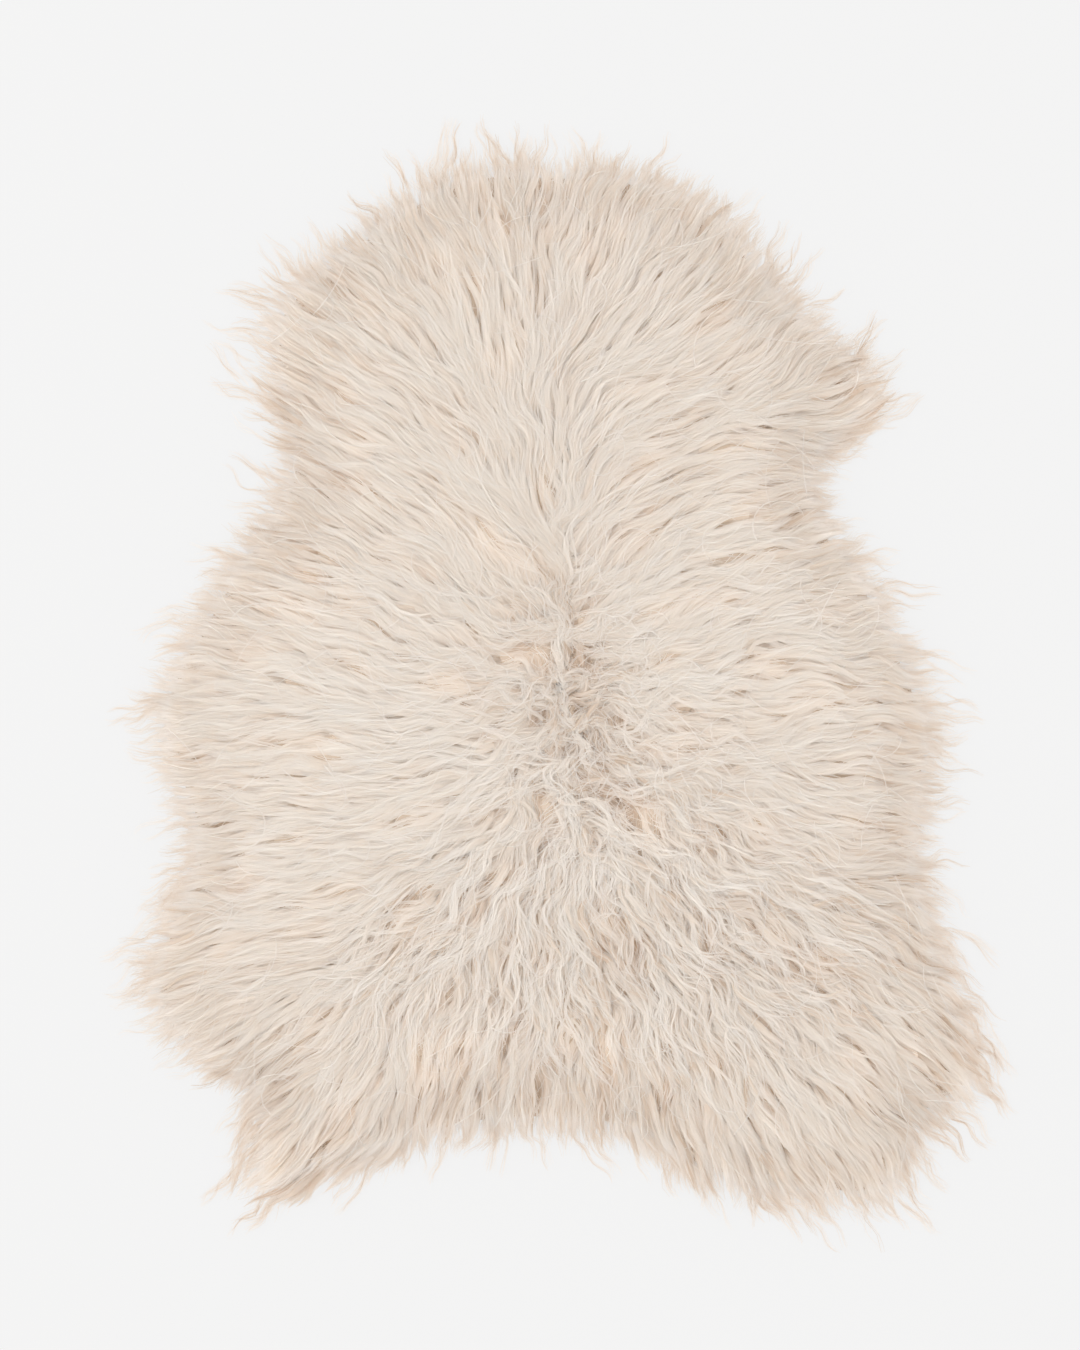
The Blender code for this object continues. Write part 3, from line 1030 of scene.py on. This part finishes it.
def loose_hairs(fields, rng):
    """Single hairs that lie across the fleece in long arcs."""
    low, high = fields.edge.min(axis=0), fields.edge.max(axis=0)
    roots = rng.uniform(low, high, (LOOSE.count * LOOSE.tries, 2))
    wanted = fields.at(roots)["stray"] > LOOSE_STRAY * rng.uniform(0.0, 1.0, len(roots))
    roots = roots[wanted]
    length = rng.uniform(*LOOSE.lengths, len(roots))
    turn = rng.normal(0.0, LOOSE.turn, len(roots))
    curl = 1.0 + fields.at(roots)["stray"] / LOOSE_CURL
    bend = rng.normal(0.0, HAIR_BEND, len(roots)) * curl
    paths = curved_paths(fields, roots, length, turn, bend, LOOSE.segments)
    within = (fields.at(paths)["distance"] > LOOSE_INSET).all(axis=1)
    paths = paths[within][: LOOSE.count]
    t = np.linspace(0.0, 1.0, LOOSE.segments + 1)
    arch = 4.0 * t * (1.0 - t)
    lift = rng.uniform(0.0, LOOSE_LIFT, len(paths))[:, None]
    z = LOOSE_HEIGHT * fields.at(paths)["height"] + lift * arch
    at_ends, growth = LOOSE_TAPER
    taper = np.minimum(1.0, growth * np.minimum(t, 1.0 - t) + at_ends)
    return hair_strands(fields, LOOSE, paths, z, taper, rng)


# ---------------------------------------------------------------- underwool and hide


def streaks(fields, points, rng):
    """Noise drawn out along the comb."""
    seed = int(rng.integers(1 << 30))
    total = smooth_noise(points, STREAK_CELL, seed)
    for sign in (-1.0, 1.0):
        place = points.copy()
        for _ in range(STREAK_STEPS):
            place = place + sign * STREAK_REACH / STREAK_STEPS * comb_of(fields.at(place))
            total = total + smooth_noise(place, STREAK_CELL, seed)
    return STREAK_STRENGTH * total


def inward(fields, points):
    """The distance to the dense pile's edge at points, and the direction in which it grows."""
    here = fields.at(points)["distance"]
    east = fields.at(points + (GRID_STEP, 0.0))["distance"]
    north = fields.at(points + (0.0, GRID_STEP))["distance"]
    return here, unit(np.stack((east - here, north - here), axis=-1))


def make_underwool(fields, material, rng):
    """The dense wool under the locks: a closed body with streaks along the comb."""
    low, high = fields.edge.min(axis=0), fields.edge.max(axis=0)
    count = np.ceil((high - low) / UNDERWOOL_STEP).astype(int) + 1
    grid = grid_points(low, count, UNDERWOOL_STEP)
    kept = fields.at(grid)["distance"] > UNDERWOOL_INSET
    index = -np.ones(kept.shape, dtype=int)
    index[kept] = np.arange(kept.sum())
    corners = np.stack((index[:-1, :-1], index[1:, :-1], index[1:, 1:], index[:-1, 1:]), axis=-1)
    quads = corners[(corners >= 0).all(axis=-1)]
    used, quads = np.unique(quads, return_inverse=True)
    quads = quads.reshape(-1, 4)
    flat = grid[kept][used]
    loop = np.array(outer_loop(quads))
    distance, direction = inward(fields, flat[loop])
    flat[loop] -= (distance - UNDERWOOL_INSET)[:, None] * direction

    relief = streaks(fields, flat, rng)
    here = fields.at(flat)
    risen = np.clip((here["distance"] - UNDERWOOL_INSET) / UNDERWOOL_ROLL, 0.0, 1.0)
    fill = here["fill"] * (RIM_FILL + (1.0 - RIM_FILL) * risen)
    clear = EDGE_RELIEF + (1.0 - EDGE_RELIEF) * risen
    z = fill * here["height"] + UNDERWOOL_RELIEF * relief * clear
    z = np.maximum(z, HIDE_THICKNESS + LEAST_UNDERWOOL)
    top = np.concatenate((flat, z[:, None]), axis=-1)

    bottom = top[loop].copy()
    bottom[:, 2] = HIDE_THICKNESS + UNDERWOOL_BASE
    ring = len(top) + np.arange(len(loop))
    wall = np.stack((np.roll(loop, -1), loop, ring, np.roll(ring, -1)), axis=-1)
    faces = np.concatenate((quads, wall))
    piece = make_piece("underwool", np.concatenate((top, bottom)), faces, material)
    numbers = []
    # Painted shade: dark tan where it shows between the locks, darker in its streaks' hollows and
    # towards its edge.
    for mean, relieved in (UNDERWOOL_SHADE_TINT, UNDERWOOL_SHADE_ALONG):
        values = np.clip((mean + relieved * relief) * risen, 0.0, 1.0)
        numbers.append(np.concatenate((values, values[loop])))
    add_wool_numbers(piece.data, faces, *numbers)
    return piece


def hide_outline(fields):
    """The dense pile's edge, moved inwards and smoothed."""
    edge = np.concatenate([fields.edge, fields.edge[:1]])
    along = np.concatenate(([0.0], np.cumsum(np.linalg.norm(np.diff(edge, axis=0), axis=1))))
    count = int(along[-1] / HIDE_POINT_SPACING)
    places = np.linspace(0.0, along[-1], count, endpoint=False)
    loop = np.column_stack([np.interp(places, along, column) for column in edge.T])
    for _ in range(INSET_ROUNDS):
        distance, direction = inward(fields, loop)
        loop = loop + INSET_PUSH * np.maximum(HIDE_INSET - distance, 0.0)[:, None] * direction
        loop = 0.5 * loop + 0.25 * (np.roll(loop, 1, axis=0) + np.roll(loop, -1, axis=0))
    return loop


def make_hide(fields, material):
    """The tanned hide, a thin flat sheet with a rounded edge; also its box's size and its area."""
    loop = hide_outline(fields)
    count = len(loop)
    centre = loop.mean(axis=0)
    heights = (0.0, HIDE_EDGE_RISE, HIDE_THICKNESS - HIDE_EDGE_RISE, HIDE_THICKNESS)
    insets = (HIDE_EDGE_INSET, 0.0, 0.0, HIDE_EDGE_INSET)
    points = []
    for inset, z in zip(insets, heights):
        ring = loop + inset * unit(centre - loop)
        points.append(np.column_stack((ring, np.full(count, z))))
    ring = list(range(count))
    faces = [ring[::-1]]
    last = len(heights) - 1
    for k in range(last):
        low, high = k * count, (k + 1) * count
        faces += [(low + i, low + (i + 1) % count, high + (i + 1) % count, high + i) for i in ring]
    faces.append([last * count + i for i in ring])
    mesh = bpy.data.meshes.new("hide")
    mesh.from_pydata(np.concatenate(points).tolist(), [], faces)
    mesh.update()
    mesh.materials.append(material)
    piece = bpy.data.objects.new("hide", mesh)
    bpy.context.collection.objects.link(piece)
    ahead = np.roll(loop, -1, axis=0)
    area = 0.5 * abs((loop[:, 0] * ahead[:, 1] - loop[:, 1] * ahead[:, 0]).sum())
    return piece, loop.max(axis=0) - loop.min(axis=0), area


# ---------------------------------------------------------------- materials


def principled(name, roughness, gloss):
    """A new material with its node tree and its shader."""
    material = bpy.data.materials.new(name)
    material.use_nodes = True
    shader = material.node_tree.nodes["Principled BSDF"]
    shader.inputs["Roughness"].default_value = roughness
    shader.inputs["Specular IOR Level"].default_value = gloss
    return material, material.node_tree, shader


def ramp(tree, factor, stops):
    """The output of a colour ramp over a factor."""
    node = tree.nodes.new("ShaderNodeValToRGB")
    elements = node.color_ramp.elements
    while len(elements) < len(stops):
        elements.new(0.5)
    for element, (place, color) in zip(elements, stops):
        element.position = place
        element.color = (*color, 1.0)
    tree.links.new(factor, node.inputs["Fac"])
    return node.outputs["Color"]


def attribute(tree, name):
    node = tree.nodes.new("ShaderNodeAttribute")
    node.attribute_name = name
    return node.outputs["Fac"]


def wool_material(name, translucency):
    """Undyed wool: each strand has its own tint, and painted shade darkens it towards its root and
    rim.
    """
    material, tree, shader = principled(name, WOOL_ROUGHNESS, WOOL_GLOSS)
    mix = tree.nodes.new("ShaderNodeMix")
    mix.data_type = "RGBA"
    mix.blend_type = "MULTIPLY"
    mix.inputs["Factor"].default_value = 1.0
    tree.links.new(ramp(tree, attribute(tree, "tint"), WOOL_TINTS), mix.inputs["A"])
    tree.links.new(ramp(tree, attribute(tree, "along"), WOOL_PAINTED_SHADE), mix.inputs["B"])
    tree.links.new(mix.outputs["Result"], shader.inputs["Base Color"])
    if translucency:
        through = tree.nodes.new("ShaderNodeBsdfTranslucent")
        both = tree.nodes.new("ShaderNodeMixShader")
        both.inputs["Fac"].default_value = translucency
        tree.links.new(mix.outputs["Result"], through.inputs["Color"])
        tree.links.new(shader.outputs["BSDF"], both.inputs[1])
        tree.links.new(through.outputs["BSDF"], both.inputs[2])
        tree.links.new(both.outputs["Shader"], tree.nodes["Material Output"].inputs["Surface"])
    return material


def noise(tree, place, scale):
    node = tree.nodes.new("ShaderNodeTexNoise")
    node.inputs["Scale"].default_value = scale
    tree.links.new(place, node.inputs["Vector"])
    return node


def hide_material():
    """Tanned suede: pale tan with soft blotches and a fine nap."""
    material, tree, shader = principled("hide", HIDE_ROUGHNESS, HIDE_GLOSS)
    place = tree.nodes.new("ShaderNodeNewGeometry").outputs["Position"]
    blotches = noise(tree, place, BLOTCH_SCALE)
    blotches.inputs["Detail"].default_value = BLOTCH_DETAIL
    colors = ramp(tree, blotches.outputs["Fac"], HIDE_BLOTCHES)
    bump = tree.nodes.new("ShaderNodeBump")
    bump.inputs["Strength"].default_value = NAP_STRENGTH
    bump.inputs["Distance"].default_value = NAP_HEIGHT
    tree.links.new(colors, shader.inputs["Base Color"])
    tree.links.new(noise(tree, place, NAP_SCALE).outputs["Fac"], bump.inputs["Height"])
    tree.links.new(bump.outputs["Normal"], shader.inputs["Normal"])
    return material


def floor_material():
    """A plain pale floor that glows, so that the rug casts hardly any shadow on it."""
    material, _, shader = principled("floor", 1.0, 0.0)
    shader.inputs["Base Color"].default_value = FLOOR_COLOR
    shader.inputs["Emission Color"].default_value = FLOOR_GLOW_COLOR
    shader.inputs["Emission Strength"].default_value = FLOOR_GLOW
    return material


# ---------------------------------------------------------------- studio


def make_studio():
    """Even light from all round, a soft light on either side, the floor and the camera."""
    scene = bpy.context.scene
    scene.view_settings.view_transform = "Standard"
    scene.view_settings.look = "None"
    scene.view_settings.exposure = 0.0
    scene.view_settings.gamma = 1.0

    world = bpy.data.worlds.new("studio")
    world.use_nodes = True
    background = world.node_tree.nodes["Background"]
    background.inputs["Color"].default_value = WORLD_COLOR
    background.inputs["Strength"].default_value = WORLD_LIGHT
    scene.world = world

    signs = ((-1, -1), (1, -1), (1, 1), (-1, 1))
    corners = np.array([(FLOOR_HALF * x, FLOOR_HALF * y, FLOOR_LEVEL) for x, y in signs])
    make_piece("floor", corners, np.array(((0, 1, 2, 3),)), floor_material())

    for x, power in SIDE_LIGHTS:
        light = bpy.data.lights.new("soft box", "AREA")
        light.shape = "RECTANGLE"
        light.size, light.size_y = SIDE_LIGHT_SIZE
        light.energy = power
        lamp = bpy.data.objects.new("soft box", light)
        lamp.location = (x, *SIDE_LIGHT_PLACE)
        lamp.rotation_euler = (-lamp.location).to_track_quat("-Z", "Y").to_euler()
        bpy.context.collection.objects.link(lamp)

    camera = bpy.data.cameras.new("camera")
    camera.lens = LENS
    camera.clip_end = FURTHEST_SEEN
    eye = bpy.data.objects.new("camera", camera)
    eye.location = CAMERA_PLACE
    bpy.context.collection.objects.link(eye)
    scene.camera = eye


# ---------------------------------------------------------------- the rug


def segments_for(locks):
    """How many straight pieces a strand of each lock needs."""
    waves = locks.length / locks.wavelength * np.minimum(1.0, locks.wave / CLEAR_WAVE)
    fewer = [waves < limit for limit, _ in SEGMENTS]
    return np.select(fewer, [segments for _, segments in SEGMENTS], MOST_SEGMENTS)


def make_locks(fields, material, rng):
    """The locks and those that cover bare places, in pieces by kind of strand and segments."""
    pieces = []
    first = Locks(fields, *lock_tips(fields, rng), rng)
    cover = Locks(fields, cover_tips(fields, first, rng), 0, rng, stray=COVER_STRAY)
    for use, locks in (("lock", first), ("cover", cover)):
        kinds = segments_for(locks)
        for segments in np.unique(kinds).tolist():
            chosen = np.flatnonzero(kinds == segments)
            for name, kind in (("body", BODY), ("hair", HAIR)):
                strands = grow(fields, locks, chosen, kind, segments, rng)
                pieces += make_wool(f"{use}_{name}_{segments}", fields, strands, material)
    return pieces


def make_rug():
    """The wool in pieces, which stand for the solid, and the hide that they grow on."""
    rng = np.random.default_rng(SEED)
    fields = Fields(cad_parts["sheepskin"])
    wool = wool_material("wool", WOOL_TRANSLUCENCY)

    pieces = make_locks(fields, wool, rng)
    for name, find_tips, layer, given, kind, segments in (
        ("tresses", tress_tips, TRESS_LAYER, TRESS, TRESS_HAIR, TRESS_SEGMENTS),
        ("fringe", fringe_tips, 0, FRINGE, FRINGE_HAIR, FRINGE_SEGMENTS),
    ):
        locks = Locks(fields, find_tips(fields, rng), layer, rng, **given)
        strands = grow(fields, locks, np.arange(locks.count), kind, segments, rng)
        pieces += make_wool(name, fields, strands, wool)
    for name, hairs in (("rim_fuzz", rim_fuzz), ("loose_hairs", loose_hairs)):
        pieces += make_wool(name, fields, hairs(fields, rng), wool)
    pieces.append(make_underwool(fields, wool_material("underwool", 0.0), rng))
    for piece in pieces:
        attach(piece, "root")
        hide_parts("sheepskin")

    hide, flat, area = make_hide(fields, hide_material())
    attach(hide, "root")


make_studio()
make_rug()
